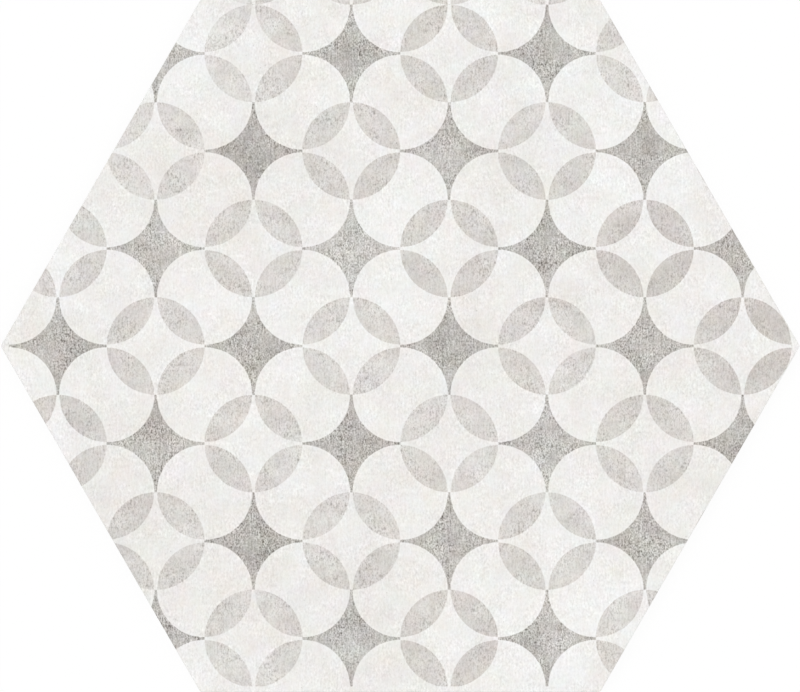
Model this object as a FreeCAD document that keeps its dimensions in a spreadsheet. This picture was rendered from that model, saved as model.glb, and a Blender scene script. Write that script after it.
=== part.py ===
"""Hexagon floor tile: one pressed and fired porcelain piece, lying face up.

The frame has its origin at the middle of the bed plane, on which the ribs of the back stand. +Z points
out of the face, and +X through one of the six corners. The face is a regular hexagon with a small
rounded arris. Below an upright land, which meets the next tile's joint, the sides draw in towards the
back. The back has a plain band along its edges, then a raised frame round a honeycomb of ribs with
sloping flanks, which is what the adhesive grips.
"""
import FreeCAD, Part
import math
import os
import Sketcher

# alias, value and meaning of each driving size, in millimetres or degrees
SIZES = [
    ("across_flats", 285.0, "face, between two opposite edges"),
    ("thickness", 9.0, "from the crests of the ribs to the face"),
    ("corner_least", 0.6, "radius in plan of the six corners at the back, where it is least"),
    ("face_arris", 0.7, "radius of the rounded edge round the face"),
    ("land_height", 3.0, "upright part of the side, down from the face"),
    ("side_draw", 0.4, "how far the side has drawn in where it meets the back"),
    ("back_arris", 0.5, "chamfer round the back"),
    ("band_width", 6.0, "plain band round the back, measured in from the edge of the face"),
    ("frame_least", 5.0, "least width of the raised frame inside the band"),
    ("rib_height", 0.7, "depth of the cells between the ribs"),
    ("rib_crest", 3.2, "width of a rib at its crest"),
    ("rib_flank", 30.0, "degrees by which the sides of ribs and frame slope"),
    ("cell_pitch", 20.0, "from one cell of the honeycomb to the next"),
]

SIDES = 6
BLOCKS = 3
TOUCHES = 1e-4

FIELD_APOTHEM = "(sizes.across_flats / 2 - sizes.band_width)"
CELL_APOTHEM = "(sizes.cell_pitch - sizes.rib_crest) / 2"
CELL_REACH = "(sizes.cell_pitch - sizes.rib_crest) / sqrt(3)"
ROW_STEP = "(sizes.cell_pitch * sqrt(3) / 2)"
RINGS = f"floor(({FIELD_APOTHEM} - sizes.frame_least - {CELL_REACH}) / {ROW_STEP})"


def make_sheet(doc):
    """The spreadsheet of driving sizes, one row each: value and meaning."""
    sheet = doc.addObject("Spreadsheet::Sheet", "sizes")
    for row, (alias, value, meaning) in enumerate(SIZES, start=1):
        sheet.set(f"A{row}", str(value))
        sheet.setAlias(f"A{row}", alias)
        sheet.set(f"B{row}", meaning)
    doc.recompute()
    return sheet


def sketch_on_level(body, name, level):
    """A sketch parallel to the bed plane, at the height that the expression level gives."""
    sketch = body.newObject("Sketcher::SketchObject", name)
    bed_plane = next(f for f in body.Origin.OriginFeatures if f.Role == "XY_Plane")
    sketch.AttachmentSupport = [(bed_plane, "")]
    sketch.MapMode = "FlatFace"
    sketch.setExpression("AttachmentOffset.Base.z", level)
    return sketch


def add_hexagon(sketch, apothem, first_corner, offset=None):
    """Draws a regular hexagon, held by a construction circle through its corners.

    apothem is an expression for half the distance across the flats. first_corner is the angle of a
    corner, 0 or 30 degrees. offset is an expression for how far the centre stands from the origin.
    """
    drawn = 10.0
    middle = FreeCAD.Vector(0 if offset is None else drawn, 0, 0)
    angles = [math.radians(first_corner + 360 / SIDES * k) for k in range(SIDES)]
    corners = [middle + FreeCAD.Vector(math.cos(a), math.sin(a), 0) * drawn for a in angles]
    for k in range(SIDES):
        sketch.addGeometry(Part.LineSegment(corners[k], corners[(k + 1) % SIDES]), False)
    circle = sketch.addGeometry(Part.Circle(middle, FreeCAD.Vector(0, 0, 1), drawn), True)
    for k in range(SIDES):
        sketch.addConstraint(Sketcher.Constraint("Coincident", k, 2, (k + 1) % SIDES, 1))
        sketch.addConstraint(Sketcher.Constraint("PointOnObject", k, 1, circle))
    for k in range(1, SIDES):
        sketch.addConstraint(Sketcher.Constraint("Equal", 0, k))
    # with a corner at 0 degrees the second side is level, and with one at 30 the last is upright
    if first_corner == 0:
        sketch.addConstraint(Sketcher.Constraint("Horizontal", 1))
    else:
        sketch.addConstraint(Sketcher.Constraint("Vertical", SIDES - 1))
    if offset is None:
        sketch.addConstraint(Sketcher.Constraint("Coincident", circle, 3, -1, 1))
    else:
        sketch.addConstraint(Sketcher.Constraint("PointOnObject", circle, 3, -1))
        away = sketch.addConstraint(Sketcher.Constraint("DistanceX", -1, 1, circle, 3, drawn))
        sketch.renameConstraint(away, "away")
        sketch.setExpression("Constraints.away", offset)
    radius = sketch.addConstraint(Sketcher.Constraint("Radius", circle, drawn))
    sketch.renameConstraint(radius, "to_corner")
    sketch.setExpression("Constraints.to_corner", f"{apothem} * 2 / sqrt(3)")


def add_slab(body):
    """The tile above its ribs, with upright sides and sharp edges."""
    outline = sketch_on_level(body, "face_outline", "sizes.thickness")
    add_hexagon(outline, "sizes.across_flats / 2", first_corner=0)
    slab = body.newObject("PartDesign::Pad", "slab")
    slab.Profile = outline
    slab.Reversed = True
    slab.setExpression("Length", "sizes.thickness - sizes.rib_height")
    body.Document.recompute()


def dress(body, kind, name, wanted, sizes):
    """Adds a fillet or chamfer on the edges whose two ends pass the test wanted(first, last)."""
    base = body.Tip
    named = enumerate(base.Shape.Edges, start=1)
    picked = [f"Edge{n}" for n, edge in named if wanted(edge.Vertexes[0].Z, edge.Vertexes[-1].Z)]
    feature = body.newObject(f"PartDesign::{kind}", name)
    feature.Base = (base, picked)
    if len(sizes) > 1 and kind == "Chamfer":
        feature.ChamferType = "Two distances"
    for prop, expression in sizes.items():
        feature.setExpression(prop, expression)
    body.Document.recompute()


def shape_sides(body, sheet):
    """Rounds the corners, draws the sides in below the land, and eases both arrises."""
    def upright(first, last):
        return abs(first - last) > TOUCHES

    def at_face(first, last):
        return min(first, last) > sheet.thickness - TOUCHES

    def at_back(first, last):
        return max(first, last) < sheet.rib_height + TOUCHES

    relief_height = "sizes.thickness - sizes.rib_height - sizes.land_height"
    corner_radius = "sizes.corner_least + sizes.side_draw + sizes.back_arris"
    dress(body, "Fillet", "rounded_corners", upright, {"Radius": corner_radius})
    dress(body, "Chamfer", "side_relief", at_back,
          {"Size": relief_height, "Size2": "sizes.side_draw"})
    dress(body, "Chamfer", "back_arris", at_back, {"Size": "sizes.back_arris"})
    dress(body, "Fillet", "face_arris", at_face, {"Radius": "sizes.face_arris"})


def add_rib_field(body):
    """The raised field on the back, from which the cells are taken."""
    outline = sketch_on_level(body, "field_outline", "sizes.rib_height")
    add_hexagon(outline, FIELD_APOTHEM, first_corner=0)
    field = body.newObject("PartDesign::Pad", "rib_field")
    field.Profile = outline
    field.Reversed = True
    field.setExpression("Length", "sizes.rib_height")
    field.setExpression("TaperAngle", "-sizes.rib_flank")
    body.Document.recompute()


def add_cell(body, name, offset=None):
    """One cell of the honeycomb, sunk into the field from the crests of its ribs."""
    outline = sketch_on_level(body, f"{name}_outline", "0")
    add_hexagon(outline, CELL_APOTHEM, first_corner=30, offset=offset)
    cell = body.newObject("PartDesign::Pocket", name)
    cell.Profile = outline
    cell.Reversed = True
    cell.setExpression("Length", "sizes.rib_height")
    cell.setExpression("TaperAngle", "-sizes.rib_flank")
    body.Document.recompute()
    return cell


def add_block_directions(body):
    """The two directions, 120 degrees apart, in which a block of cells grows."""
    directions = sketch_on_level(body, "block_directions", "0")
    for k in range(2):
        turn = math.radians(360 / BLOCKS * k)
        reach = FreeCAD.Vector(math.cos(turn), math.sin(turn), 0)
        line = directions.addGeometry(Part.LineSegment(FreeCAD.Vector(), reach), True)
        directions.addConstraint(Sketcher.Constraint("Block", line))
    return directions


def add_honeycomb(body):
    """The middle cell, and three equal blocks of cells turned about it, which fill the field."""
    add_cell(body, "middle_cell")
    cell = add_cell(body, "first_cell", offset="sizes.cell_pitch")
    directions = add_block_directions(body)
    honeycomb = body.newObject("PartDesign::MultiTransform", "honeycomb")
    block = body.newObject("PartDesign::LinearPattern", "block_of_cells")
    block.Direction = (directions, ["Axis0"])
    block.Direction2 = (directions, ["Axis1"])
    block.setExpression("Length", f"sizes.cell_pitch * ({RINGS} - 1)")
    block.setExpression("Length2", f"sizes.cell_pitch * {RINGS}")
    block.setExpression("Occurrences", RINGS)
    block.setExpression("Occurrences2", f"{RINGS} + 1")
    turned = body.newObject("PartDesign::PolarPattern", "turned_blocks")
    turned.Axis = (directions, ["N_Axis"])
    turned.Angle = 360
    turned.Occurrences = BLOCKS
    honeycomb.Originals = [cell]
    honeycomb.Transformations = [block, turned]
    honeycomb.Refine = False
    body.Tip = honeycomb
    body.Document.recompute()
    check_cells(honeycomb, rings=block.Occurrences)


def check_cells(honeycomb, rings):
    """Stops if a cell is missing: each ring round the middle cell has six more than the last."""
    doc = honeycomb.Document
    uncut = doc.getObject("rib_field").Shape.Volume
    one_cell = uncut - doc.getObject("middle_cell").Shape.Volume
    all_cells = uncut - honeycomb.Shape.Volume
    wanted = one_cell * (1 + SIDES * rings * (rings + 1) / 2)
    if abs(all_cells - wanted) > TOUCHES * wanted:
        raise RuntimeError(f"the cells take {all_cells:.0f} mm3 and not {wanted:.0f}")


def make_tile(doc, sheet):
    """The whole tile, which is one fired piece."""
    tile = doc.addObject("PartDesign::Body", "tile")
    tile.Label = "tile"
    add_slab(tile)
    shape_sides(tile, sheet)
    add_rib_field(tile)
    add_honeycomb(tile)
    return tile


def check(doc, pieces):
    """Stops if any object failed, or any piece isn't one sound solid."""
    for item in doc.Objects:
        if "Invalid" in item.State or "Error" in item.State:
            raise RuntimeError(f"{item.Name} failed: {item.State}")
    for piece in pieces:
        shape = piece.Shape
        if shape.isNull() or not shape.isValid() or len(shape.Solids) != 1:
            raise RuntimeError(f"{piece.Label} isn't one sound solid")


def main():
    doc = FreeCAD.newDocument("hexagon_floor_tile")
    sheet = make_sheet(doc)
    pieces = [make_tile(doc, sheet)]
    doc.recompute()
    check(doc, pieces)
    os.makedirs("parts", exist_ok=True)
    for piece in pieces:
        piece.Shape.exportStep(f"parts/{piece.Label}.step")
        box = piece.Shape.BoundBox
        low = [round(v, 3) for v in (box.XMin, box.YMin, box.ZMin)]
        high = [round(v, 3) for v in (box.XMax, box.YMax, box.ZMax)]
        print(piece.Label, round(piece.Shape.Volume), "mm3", len(piece.Shape.Faces), "faces", low, high)


main()
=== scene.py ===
"""The looks of the hexagon floor tile: its printed face, its fired sides and its ribbed back.

Lengths are in metres unless a name says otherwise. The print is worked out as ink, which is how far it
darkens white in display values, from 0 to 1 for red, green and blue, and is turned into linear colour last.
"""
import math

import bpy
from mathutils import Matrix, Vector


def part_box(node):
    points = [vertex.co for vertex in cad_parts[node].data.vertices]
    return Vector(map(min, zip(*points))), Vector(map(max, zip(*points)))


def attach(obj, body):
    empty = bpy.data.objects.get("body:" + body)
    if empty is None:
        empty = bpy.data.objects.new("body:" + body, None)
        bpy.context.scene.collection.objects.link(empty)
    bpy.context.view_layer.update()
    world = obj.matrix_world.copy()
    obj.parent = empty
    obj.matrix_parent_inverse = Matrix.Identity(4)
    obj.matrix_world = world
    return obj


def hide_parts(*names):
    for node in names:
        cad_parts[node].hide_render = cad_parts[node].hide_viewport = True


# The print: a square net of circles that almost touch, with a wider circle round every other gap
PITCH = 0.0402
BASE_RADIUS = 0.01958
WIDE_RADIUS = 0.02009
# A petal stays this far inside its base circle
PETAL_INSET = 0.00012
# The net is a little wider along the tile's long diagonal than across it
PRINT_STRETCH = (1.0011, 0.9979, 1.0)

# Edges in the print: how far they blur and wander, and how wide and strong the thin lines beside them are
EDGE_SOFTNESS = 0.00025
EDGE_WOBBLE = 0.00008
LINE_WIDTH = 0.00103
LINE_SHARE = 0.055

# From the tile's middle to where the circles stop, in the end corners and along the bottom edge, and to
# the last of the print along the top edge, where every gap has petals
END_REACH = 0.1610
BOTTOM_REACH = 0.1403
TOP_REACH = 0.1407

# Ink of the ground, the petals and the dark stars
GROUND_INK = (0.0579, 0.0656, 0.0783)
PETAL_INK = (0.1452, 0.1605, 0.1782)
STAR_INK = (0.2440, 0.2576, 0.2772)

# How much ink each kind of mark adds or takes in the ground, the petals and the dark stars
SPECKS = (0.040, 0.098, 0.252)
GRAIN = (0.052, 0.095, 0.148)
THREADS = (0.018, 0.038, 0.080)
PORES = (0.070, 0.150, 0.270)
MOTTLE = (0.050, 0.093, 0.137)
SLOW_CLOUDS = (0.028, 0.033, 0.031)
# How far the dark specks and grains outdo the pale ones, in the same three
DARK_TAIL = (0.0, 0.9, 0.8)
# Seeds of the slow clouds, which are each shape's own
SLOW_SEEDS = (11.0, 14.0, 17.0)

# Strength of specks and grain where they are weakest and strongest, and the noise that makes them so
PATCH_STRENGTHS = (0.6, 1.4)
PATCH_NOISE = (-0.35, 0.35)
# Share of the coarse marks in the grain, and of the widest clouds in the slow ones
COARSE_SHARE = 0.4
WIDEST_SHARE = 0.9
# The noise that begins a pore, and the one that makes it full
PORE_NOISE = (0.48, 0.66)

# Soft marks of uneven printing: x and y in pitches, reach, and ink in ground, petals and stars
UNEVEN_MARKS = (
    (-0.5, 1.0, 0.026, (0.0, 0.0, -0.044)),
    (-2.5, 1.0, 0.026, (0.0, 0.0, -0.036)),
    (-0.5, -3.0, 0.026, (0.0, 0.0, -0.030)),
    (1.5, -1.0, 0.026, (0.0, 0.0, -0.030)),
    (-1.5, 2.0, 0.026, (0.0, 0.0, 0.036)),
    (3.8, 0.0, 0.032, (0.0, 0.040, 0.0)),
    (2.7, 0.9, 0.028, (0.0, 0.034, 0.0)),
    (-1.8, 3.0, 0.036, (0.0, -0.030, 0.0)),
    (0.9, 0.4, 0.024, (0.014, 0.0, 0.0)),
    (1.6, 2.4, 0.060, (-0.014, 0.0, 0.0)),
    (1.4, -2.5, 0.060, (-0.014, 0.0, 0.0)),
    (-3.4, 0.9, 0.034, (-0.010, 0.0, 0.0)),
    (-1.4, 1.6, 0.050, (0.012, 0.0, 0.0)),
    (-0.7, -1.9, 0.050, (0.012, 0.0, 0.0)),
)
# Share of a soft mark's reach over which it is at its full strength
MARK_CORE = 0.3

# Red, green and blue in the ink of the grain, and in that of the clouds in the ground, petals and stars
GRAIN_SHARES = (0.983, 1.0, 1.017)
CLOUD_SHARES = ((0.76, 0.995, 1.25), (0.91, 1.02, 1.07), (0.94, 1.02, 1.04))

# How far the tints of the glaze go to either side
WARM_TINT = (-0.023, 0.0, 0.023)
ROSY_TINT = (-0.0095, 0.019, -0.0095)
SLOW_TINT = (-0.0045, -0.0005, 0.0045)

# Body and glaze away from the print, in display values
BODY_COLOUR = (0.800, 0.780, 0.745)
GLAZE_COLOUR = (0.925, 0.918, 0.905)
KILN_WASH = (0.905, 0.900, 0.885)

# How far each kind of mark darkens the bare body, and the noise that begins a speck and makes it full
BODY_CLOUDS = 0.020
BODY_GRAIN = 0.030
BODY_DRAG = 0.020
BODY_SPECKS = 0.09
SPECK_NOISE = (0.40, 0.62)

# Share of the kiln wash in patches and in streaks, and the noise that begins a patch and makes it full
WASH_PATCHES = 0.65
WASH_STREAKS = 0.25
WASH_NOISE = (-0.25, 0.20)

# The glaze on the sides: where it has ended and where it begins to, below the arris, and how far it runs
GLAZE_ENDS = (0.0008, 0.0004)
GLAZE_RUN = 0.0011

# Roughness of the bare body and of the glaze on the sides
BODY_ROUGHNESS = 0.85
GLAZE_ROUGHNESS = 0.6
# Roughness of the face in its hollows and on its bumps, and what its relief's noise is there
FACE_ROUGHNESS = (0.66, 0.54)
FACE_RELIEF = (-0.6, 0.6)
# Small bumps of the face and of the rest of the tile
FACE_BUMPS = {"Strength": 0.35, "Distance": 0.00005}
BODY_BUMPS = {"Strength": 0.6, "Distance": 0.00008}

# Shape, as in the part's source
SIDES = 6
FACE_ARRIS = 0.0007
RIB_HEIGHT = 0.0007
# Shares of the arris, down from the face, where the ink has ended and where it begins to. The ink fades out
# there partly because the print ends at the arris and partly as painted light, which lightens the arris
# against its shade
INK_AND_PAINTED_LIGHT_ENDS = (0.8, 0.2)
# Shares of the ribs' height, up from their crests, where the wash has ended and where it begins to
WASH_ENDS = (0.4, 0.1)
# A part of the mesh has the print's material if its normal's z is over this
PRINTED_TILT = 0.02
# In the map, a part of the mesh goes with the face or with the back if its normal's z is past these
FACE_TILT = 0.5
BACK_TILT = -0.3

# Camera and light
LENS = 100.0
SENSOR = 36.0
VIEW_WIDTH = 0.32909
VIEW_SHIFT = -0.0001
WORLD_LIGHT = 0.68
SUN_ANGLE = math.radians(35)
# Lamps: the light that each would give a surface facing it, and its azimuth and elevation in degrees
LAMPS = {
    "key_light": (0.60, 125, 62),
    "fill_light": (0.42, -40, 65),
    "back_light": (0.90, 200, -32),
}

# The floor, how far its opening and the tile's shade end inside the tile's edge, and its white glow
FLOOR_REACH = 4.0
OPENING_INSET = 0.0063
SHADE_INSET = 0.0012
WHITE = (1.0, 1.0, 1.0, 1.0)
FLOOR_COLOUR = (0.90, 0.90, 0.90, 1.0)
# Painted shade: the floor in the tile's shade gets this darker grey and no glow, on top of the shading that
# its light gives it
PAINTED_SHADE_COLOUR = (0.45, 0.45, 0.45, 1.0)
GLOW_STRENGTH = 1.016
GLOW_SHARE = 0.90


def tile_size(box):
    """Apothem and thickness of the tile, from its box. The rounded corners shorten only the box's x."""
    low, high = box
    return (high.y - low.y) / 2, high.z - low.z


def add_object(name, data):
    """A new object in the scene."""
    added = bpy.data.objects.new(name, data)
    bpy.context.scene.collection.objects.link(added)
    return added


class Graph:
    """Adds nodes to one tree. Its methods return output sockets, which others take as values."""

    def __init__(self, tree):
        self.tree = tree
        tree.nodes.clear()

    def add(self, kind, values=(), output=0, **settings):
        """A node of this kind, with its settings, and its inputs fed in order or, from a dict, by name."""
        node = self.tree.nodes.new(kind)
        for name, value in settings.items():
            setattr(node, name, value)
        pairs = values.items() if isinstance(values, dict) else enumerate(values)
        for key, value in pairs:
            if isinstance(value, bpy.types.NodeSocket):
                self.tree.links.new(value, node.inputs[key])
            elif value is not None:
                node.inputs[key].default_value = value
        return node.outputs[output] if node.outputs else None

    def maths(self, operation, *values):
        return self.add("ShaderNodeMath", values, operation=operation)

    def total(self, *values):
        """The sum of several numbers."""
        result = values[0]
        for value in values[1:]:
            result = self.maths("ADD", result, value)
        return result

    def product(self, *values):
        """The product of several numbers."""
        result = values[0]
        for value in values[1:]:
            result = self.maths("MULTIPLY", result, value)
        return result

    def rest(self, share):
        """What a share leaves of 1."""
        return self.maths("SUBTRACT", 1.0, share)

    def vector(self, operation, *values):
        """Vector maths. A number goes in as a vector of three like it."""
        spread = [(v,) * 3 if isinstance(v, (int, float)) else v for v in values]
        return self.add("ShaderNodeVectorMath", spread, operation=operation)

    def axes(self, vector):
        """The x, y and z of a vector."""
        return self.add("ShaderNodeSeparateXYZ", (vector,)).node.outputs[:]

    def blend(self, share, first, second):
        """The vector that goes from first to second as share goes from 0 to 1."""
        towards = self.vector("SUBTRACT", second, first)
        return self.vector("MULTIPLY_ADD", share, towards, first)

    def ramp(self, value, low, high, first=0.0, last=1.0):
        """A smooth change from first to last as value goes from low to high."""
        return self.add("ShaderNodeMapRange", {"Value": value, "From Min": low, "From Max": high,
                                               "To Min": first, "To Max": last},
                        interpolation_type="SMOOTHSTEP")

    def noise(self, place, size, detail=0.0, roughness=0.5, seed=0.0, stretch=(1.0, 1.0, 1.0)):
        """Noise whose largest marks are about size across, from about -1 to 1. stretch lengthens them."""
        scaled = self.vector("MULTIPLY", place, tuple(1 / (size * s) for s in stretch))
        value = self.add("ShaderNodeTexNoise", {"Vector": scaled, "W": seed, "Scale": 1.0, "Detail": detail,
                                                "Roughness": roughness}, noise_dimensions="4D")
        return self.add("ShaderNodeMath", (value, 2.0, -1.0), operation="MULTIPLY_ADD")

    def colour(self, display):
        """Linear colour from display values, by the upper part of the sRGB curve."""
        shifted = self.vector("DIVIDE", self.vector("ADD", display, 0.055), 1.055)
        return self.add("ShaderNodeGamma", (shifted, 2.4))

    def object_place(self):
        """Where the shaded point is in the object's own frame."""
        return self.add("ShaderNodeTexCoord", output="Object")

    def finish(self, shader):
        """Makes the shader the surface of the material."""
        self.add("ShaderNodeOutputMaterial", (shader,))

    def finish_fired(self, colour, roughness, relief, bumps):
        """Ends the material in a fired surface of this colour, with bumps where the relief is high."""
        normal = self.add("ShaderNodeBump", {"Height": relief, **bumps})
        self.finish(self.add("ShaderNodeBsdfPrincipled", {"Base Color": colour, "Roughness": roughness,
                                                          "Normal": normal}))


def new_material(name):
    """A material without nodes, and the graph that adds them to it."""
    material = bpy.data.materials.new(name)
    material.use_nodes = True
    return material, Graph(material.node_tree)


def print_depths(graph, place):
    """How far a point is inside a base circle, and inside a wide circle, in metres.

    Base circles stand on a square net, half a pitch from the gaps. Wide circles stand on every other gap,
    which is a square net turned by 45 degrees, so they are found in the sums and differences of x and y.
    In the last of the print along the top edge they stand on every gap.
    """
    from_star = graph.vector("SUBTRACT", place, (PITCH / 2, 0.0, 0.0))
    x, y, _ = graph.axes(graph.vector("DIVIDE", from_star, PITCH))

    def from_middle(value):
        return graph.maths("SUBTRACT", graph.maths("FRACT", value), 0.5)

    def length(first, second):
        return graph.maths("SQRT", graph.total(graph.product(first, first), graph.product(second, second)))

    base = length(from_middle(x), from_middle(y))
    # x and y run in pitches from a dark star, so their sum is odd in the gaps that have a wide circle
    wide = length(from_middle(graph.product(graph.maths("ADD", x, y), 0.5)),
                  from_middle(graph.product(graph.maths("SUBTRACT", x, y), 0.5)))
    wide = graph.product(wide, math.sqrt(2))
    # away from the top edge a whole pitch is added to the way to the nearest gap, so that it doesn't count
    every_gap = length(from_middle(graph.maths("ADD", x, 0.5)), from_middle(graph.maths("ADD", y, 0.5)))
    past_top = graph.maths("GREATER_THAN", y, TOP_REACH / PITCH)
    wide = graph.maths("MINIMUM", wide, graph.total(every_gap, graph.rest(past_top)))
    wobble = graph.product(graph.noise(place, size=0.0022, detail=1, seed=3.1), EDGE_WOBBLE)
    in_base = graph.maths("SUBTRACT", BASE_RADIUS, graph.product(base, PITCH))
    in_wide = graph.maths("SUBTRACT", WIDE_RADIUS, graph.product(wide, PITCH))
    return graph.maths("ADD", in_base, wobble), graph.maths("ADD", in_wide, wobble)


def print_shapes(graph, place):
    """Masks of the petals and of the dark stars.

    Past the outermost circles, in the two end corners and along the bottom edge, the tile has the
    ground alone.
    """
    def edge(depth):
        """From 0 outside a circle to 1 inside, and just past both beside the edge, as thin crisp lines."""
        line = graph.maths("SINE", graph.ramp(depth, -LINE_WIDTH, LINE_WIDTH, -math.pi, math.pi))
        return graph.total(graph.ramp(depth, -EDGE_SOFTNESS, EDGE_SOFTNESS), graph.product(line, LINE_SHARE))

    in_base, in_wide = print_depths(graph, place)
    wide = edge(in_wide)
    x, y, _ = graph.axes(place)
    past_end = graph.maths("SUBTRACT", graph.maths("ABSOLUTE", x), END_REACH)
    past_bottom = graph.maths("SUBTRACT", -BOTTOM_REACH, y)
    within = graph.rest(edge(graph.maths("MAXIMUM", past_end, past_bottom)))
    petal = graph.product(edge(graph.maths("SUBTRACT", in_base, PETAL_INSET)), wide, within)
    star = graph.product(graph.rest(edge(in_base)), graph.rest(wide), within)
    return petal, star


def by_shape(graph, values, petal, star):
    """The first value in the ground, the second in the petals and the third in the dark stars."""
    ground, in_petal, in_star = values
    return graph.total(ground, graph.product(petal, in_petal - ground),
                       graph.product(star, in_star - ground))


def print_ink(graph, petal, star):
    """The ink of the print, without its grain."""
    def step(ink):
        return tuple(shape - ground for shape, ground in zip(ink, GROUND_INK))

    ink = graph.vector("MULTIPLY_ADD", petal, step(PETAL_INK), GROUND_INK)
    return graph.vector("MULTIPLY_ADD", star, step(STAR_INK), ink)


def uneven_ink(graph, place, petal, star, thickness):
    """What the soft marks of uneven printing add to the ink."""
    marks = []
    for x, y, reach, ink in UNEVEN_MARKS:
        away = graph.add("ShaderNodeVectorMath", (place, (x * PITCH, y * PITCH, thickness)), output=1,
                         operation="DISTANCE")
        marks.append(graph.product(graph.ramp(away, reach * MARK_CORE, reach, first=1.0, last=0.0),
                                   by_shape(graph, ink, petal, star)))
    return graph.total(*marks)


def grain_ink(graph, place, petal, star, thickness):
    """What the worn look of the print adds to its ink: specks and upright threads, clouds and tints."""
    patches = graph.ramp(graph.noise(place, size=0.010, detail=1, seed=17.0),
                         *PATCH_NOISE, *PATCH_STRENGTHS)
    tail = by_shape(graph, DARK_TAIL, petal, star)

    def with_dark_tail(noise):
        """The noise in its patches, with its dark marks made darker and its pale ones less pale."""
        patchy = graph.product(noise, patches)
        return graph.product(patchy, graph.total(1.0, graph.product(patchy, tail)))

    specks = with_dark_tail(graph.noise(place, size=0.0005, seed=2.0, stretch=(1.0, 1.5, 1.0)))
    fine = graph.noise(place, size=0.0010, seed=8.0, stretch=(0.85, 1.4, 1.0))
    coarse = graph.noise(place, size=0.0020, seed=13.0)
    grain = with_dark_tail(graph.total(fine, graph.product(coarse, COARSE_SHARE)))
    threads = graph.noise(place, size=0.0010, seed=15.0, stretch=(0.8, 7.0, 1.0))
    mottle = graph.noise(place, size=0.012, detail=2, roughness=0.85, seed=5.0)
    own_seed = by_shape(graph, SLOW_SEEDS,
                        *(graph.maths("GREATER_THAN", shape, 0.5) for shape in (petal, star)))
    slow = graph.total(graph.noise(place, size=0.030, detail=1, seed=own_seed),
                       graph.product(graph.noise(place, size=0.080, seed=own_seed), WIDEST_SHARE))
    pores = graph.ramp(graph.noise(place, size=0.0010, seed=21.0), *PORE_NOISE)

    def all_of(*kinds):
        return graph.total(*(graph.product(marks, by_shape(graph, strength, petal, star))
                             for marks, strength in kinds))

    grains = all_of((specks, SPECKS), (grain, GRAIN), (threads, THREADS), (pores, PORES))
    clouds = graph.total(all_of((mottle, MOTTLE), (slow, SLOW_CLOUDS)),
                         uneven_ink(graph, place, petal, star, thickness))
    in_ground, in_petal, in_star = CLOUD_SHARES
    shares = graph.blend(star, graph.blend(petal, in_ground, in_petal), in_star)
    ink = graph.vector("MULTIPLY_ADD", clouds, shares, graph.vector("MULTIPLY", GRAIN_SHARES, grains))

    warm = graph.noise(place, size=0.011, detail=3, roughness=0.88, seed=29.0)
    rosy = graph.noise(place, size=0.011, detail=3, roughness=0.75, seed=33.0)
    slow_tint = graph.noise(place, size=0.045, detail=1, seed=37.0)
    for marks, tint in ((warm, WARM_TINT), (rosy, ROSY_TINT), (slow_tint, SLOW_TINT)):
        ink = graph.vector("MULTIPLY_ADD", marks, tint, ink)
    return ink


def face_material(thickness):
    """The printed and glazed face. The ink ends on the rounded arris, where the face turns down. This is
    partly the print's own end and partly painted light, which lightens the arris against its shade.
    """
    material, graph = new_material("printed_face")
    place = graph.object_place()
    petal, star = print_shapes(graph, graph.vector("DIVIDE", place, PRINT_STRETCH))
    ink = graph.vector("ADD", print_ink(graph, petal, star),
                       grain_ink(graph, place, petal, star, thickness))
    height = graph.axes(place)[2]
    # Painted light: the ink fades down the arris, partly where the print ends and partly as a lightening
    # against the arris's shade
    ink_kept_with_arris_lightening = graph.ramp(height, *(thickness - FACE_ARRIS * share for share in INK_AND_PAINTED_LIGHT_ENDS))
    colour = graph.colour(graph.vector("SUBTRACT", 1.0, graph.vector("MULTIPLY", ink, ink_kept_with_arris_lightening)))
    relief = graph.noise(place, size=0.0016, detail=2, roughness=0.6, seed=23.0)
    graph.finish_fired(colour, graph.ramp(relief, *FACE_RELIEF, *FACE_ROUGHNESS), relief, FACE_BUMPS)
    return material


def body_material(thickness):
    """The fired body, bare on the sides and the back, with glaze that ran over the top of the sides."""
    material, graph = new_material("fired_body")
    place = graph.object_place()
    height = graph.axes(place)[2]

    slow = graph.noise(place, size=0.030, detail=2, seed=31.0)
    grain = graph.noise(place, size=0.0011, detail=2, roughness=0.7, seed=37.0)
    drag = graph.noise(place, size=0.0016, detail=1, seed=39.0, stretch=(1.0, 1.0, 12.0))
    specks = graph.ramp(graph.noise(place, size=0.0006, seed=41.0), *SPECK_NOISE, last=BODY_SPECKS)
    darker = graph.total(graph.product(slow, BODY_CLOUDS), graph.product(grain, BODY_GRAIN),
                         graph.product(drag, BODY_DRAG), specks)
    shown = graph.vector("SUBTRACT", BODY_COLOUR, darker)

    patches = graph.ramp(graph.noise(place, size=0.0035, detail=3, roughness=0.7, seed=43.0), *WASH_NOISE)
    streaks = graph.noise(place, size=0.0014, detail=1, seed=45.0, stretch=(22.0, 1.0, 1.0))
    on_crest = graph.ramp(height, *(RIB_HEIGHT * share for share in WASH_ENDS))
    wash = graph.product(on_crest, graph.total(graph.product(patches, WASH_PATCHES),
                                               graph.product(streaks, WASH_STREAKS)))
    shown = graph.blend(wash, shown, KILN_WASH)

    run = graph.noise(place, size=0.004, detail=3, roughness=0.6, seed=53.0, stretch=(1.0, 1.0, 3.0))
    below_arris = graph.maths("SUBTRACT", thickness - FACE_ARRIS, height)
    glazed = graph.ramp(graph.maths("SUBTRACT", below_arris, graph.product(run, GLAZE_RUN)), *GLAZE_ENDS)
    shown = graph.blend(glazed, shown, GLAZE_COLOUR)

    relief = graph.noise(place, size=0.0009, detail=3, roughness=0.7, seed=47.0)
    roughness = graph.ramp(glazed, 0.0, 1.0, BODY_ROUGHNESS, GLAZE_ROUGHNESS)
    graph.finish_fired(graph.colour(shown), roughness, relief, BODY_BUMPS)
    return material


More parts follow.
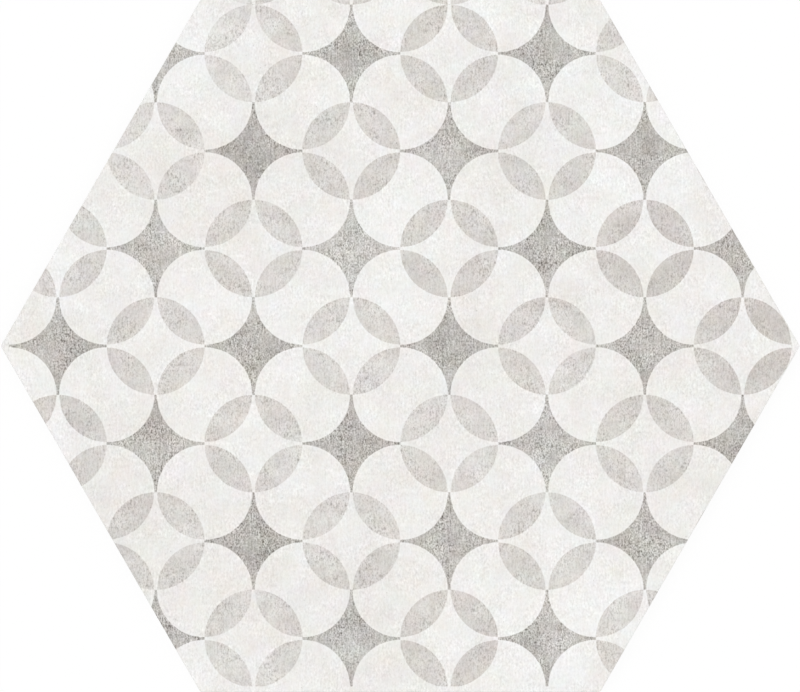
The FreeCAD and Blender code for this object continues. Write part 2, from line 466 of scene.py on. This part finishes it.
def lay_out_map(mesh, apothem):
    """Lays the tile out flat: the face as large as it goes, the back beside it and the sides in strips.

    The unit square takes the face at its top left, the smaller back at its bottom right, against the
    face's slanting edge, and the six sides at its bottom left, one strip above another.
    """
    margin, gap = 0.004, 0.006
    face_width, back_width = 0.872, 0.368
    across_corners = apothem * 4 / math.sqrt(3)
    face_scale = face_width / across_corners
    back_scale = back_width / across_corners
    face_middle = (margin + face_width / 2, 1 - margin - face_width * math.sqrt(3) / 4)
    back_middle = (1 - margin - back_width / 2, margin + back_width * math.sqrt(3) / 4)
    side_length = across_corners / 2
    strip_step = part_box("tile")[1].z * face_scale + gap
    sector_angle = math.radians(360 / SIDES)

    layout = mesh.uv_layers.new(name="OFBake")
    for face in mesh.polygons:
        sector = math.floor(math.atan2(face.center.y, face.center.x) / sector_angle) % SIDES
        outwards = sector_angle * (sector + 0.5)
        for corner in face.loop_indices:
            x, y, z = mesh.vertices[mesh.loops[corner].vertex_index].co
            if face.normal.z > FACE_TILT:
                place = (face_middle[0] + x * face_scale, face_middle[1] + y * face_scale)
            elif face.normal.z < BACK_TILT:
                place = (back_middle[0] - x * back_scale, back_middle[1] + y * back_scale)
            else:
                along = y * math.cos(outwards) - x * math.sin(outwards)
                place = (margin + (side_length / 2 + along) * face_scale,
                         margin + sector * strip_step + z * face_scale)
            layout.data[corner].uv = place


def make_tile(node, apothem, thickness):
    """The visible tile: the solid's own shape, with a map that gives the face most of its room."""
    mesh = node.data.copy()
    mesh.name = "fired_tile"
    mesh.materials.clear()
    mesh.materials.append(face_material(thickness))
    mesh.materials.append(body_material(thickness))
    for face in mesh.polygons:
        face.material_index = 0 if face.normal.z > PRINTED_TILT else 1
    lay_out_map(mesh, apothem)
    return add_object("fired_tile", mesh)


def seen_directly(graph):
    """1 for rays from the camera or off something glossy or clear, else 0."""
    path = graph.add("ShaderNodeLightPath").node
    seen = [path.outputs[name] for name in ("Is Camera Ray", "Is Glossy Ray", "Is Transmission Ray")]
    return graph.maths("MAXIMUM", graph.maths("MAXIMUM", seen[0], seen[1]), seen[2])


def floor_material():
    """Near white to the camera, with the tile's shadow, and clear from below so that the back shows."""
    material, graph = new_material("pale_floor")
    diffuse = graph.add("ShaderNodeBsdfDiffuse", {"Color": FLOOR_COLOUR})
    glow = graph.add("ShaderNodeEmission", {"Color": WHITE, "Strength": GLOW_STRENGTH})
    pale = graph.add("ShaderNodeMixShader", (graph.product(seen_directly(graph), GLOW_SHARE), diffuse, glow))
    camera = graph.add("ShaderNodeLightPath", output="Is Camera Ray")
    from_below = graph.product(camera, graph.add("ShaderNodeNewGeometry", output="Backfacing"))
    clear = graph.add("ShaderNodeBsdfTransparent")
    graph.finish(graph.add("ShaderNodeMixShader", (from_below, pale, clear)))
    return material


def painted_shade_floor_material():
    """The floor in the tile's shade: to the camera from above a dull, darker grey without the glow, which is
    painted shade on top of its own lit shading. For other rays it is open, to light the back.
    """
    material, graph = new_material("painted_shade_floor")
    diffuse = graph.add("ShaderNodeBsdfDiffuse", {"Color": PAINTED_SHADE_COLOUR})
    camera = graph.add("ShaderNodeLightPath", output="Is Camera Ray")
    from_above = graph.rest(graph.add("ShaderNodeNewGeometry", output="Backfacing"))
    clear = graph.add("ShaderNodeBsdfTransparent")
    seen = graph.product(camera, from_above)
    graph.finish(graph.add("ShaderNodeMixShader", (seen, clear, diffuse)))
    return material


def make_floor(apothem):
    """A pale floor, open under the tile so that light reaches the back.

    Its rings are hexagons like the tile: the opening ends just outside the frame of ribs, whose crests
    are in the floor's plane. Then comes the part that the tile's edge keeps in shade, painted a darker grey
    as painted shade, and then the floor that shows.
    """
    apothems = (apothem - OPENING_INSET, apothem - SHADE_INSET, FLOOR_REACH)
    angles = [math.radians(360 / SIDES * k) for k in range(SIDES)]
    points = [(math.cos(a) * r * 2 / math.sqrt(3), math.sin(a) * r * 2 / math.sqrt(3), 0.0)
              for r in apothems for a in angles]
    faces = [(ring + k, ring + k + SIDES, ring + (k + 1) % SIDES + SIDES, ring + (k + 1) % SIDES)
             for ring in (0, SIDES) for k in range(SIDES)]
    mesh = bpy.data.meshes.new("floor")
    mesh.from_pydata(points, [], faces)
    mesh.materials.append(painted_shade_floor_material())
    mesh.materials.append(floor_material())
    for face in mesh.polygons:
        face.material_index = face.index // SIDES
    return add_object("floor", mesh)


def make_world():
    """Even light from all round, and a white background."""
    world = bpy.data.worlds.new("studio")
    bpy.context.scene.world = world
    world.use_nodes = True
    graph = Graph(world.node_tree)
    strength = graph.ramp(seen_directly(graph), 0.0, 1.0, first=WORLD_LIGHT, last=1.0)
    background = graph.add("ShaderNodeBackground", {"Color": WHITE, "Strength": strength})
    graph.add("ShaderNodeOutputWorld", (background,))


def make_lamp(name, irradiance, azimuth, elevation):
    """A soft sun. Its strength is the light that it would give a surface facing it."""
    lamp = bpy.data.lights.new(name, "SUN")
    lamp.energy = irradiance
    lamp.angle = SUN_ANGLE
    a, e = math.radians(azimuth), math.radians(elevation)
    towards = Vector((math.cos(a) * math.cos(e), math.sin(a) * math.cos(e), math.sin(e)))
    add_object(name, lamp).rotation_euler = towards.to_track_quat("Z", "Y").to_euler()


def make_camera(thickness):
    """Straight down on the face, with its long diagonal level."""
    lens = bpy.data.cameras.new("camera")
    lens.lens = LENS
    lens.sensor_width = SENSOR
    camera = add_object("camera", lens)
    camera.location = (VIEW_SHIFT, 0.0, thickness + VIEW_WIDTH * LENS / SENSOR)
    bpy.context.scene.camera = camera


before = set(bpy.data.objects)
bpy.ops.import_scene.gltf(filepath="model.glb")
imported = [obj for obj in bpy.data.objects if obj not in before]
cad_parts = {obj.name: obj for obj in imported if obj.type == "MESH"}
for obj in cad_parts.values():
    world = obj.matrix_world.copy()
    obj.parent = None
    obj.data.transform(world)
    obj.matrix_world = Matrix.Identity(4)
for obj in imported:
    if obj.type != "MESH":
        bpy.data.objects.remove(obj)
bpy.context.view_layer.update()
apothem, thickness = tile_size(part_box("tile"))

tile = make_tile(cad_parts["tile"], apothem, thickness)
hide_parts("tile")
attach(tile, "root")

make_floor(apothem)
make_world()
for lamp_name, (irradiance, azimuth, elevation) in LAMPS.items():
    make_lamp(lamp_name, irradiance, azimuth, elevation)
make_camera(thickness)
bpy.context.scene.view_settings.view_transform = "Standard"
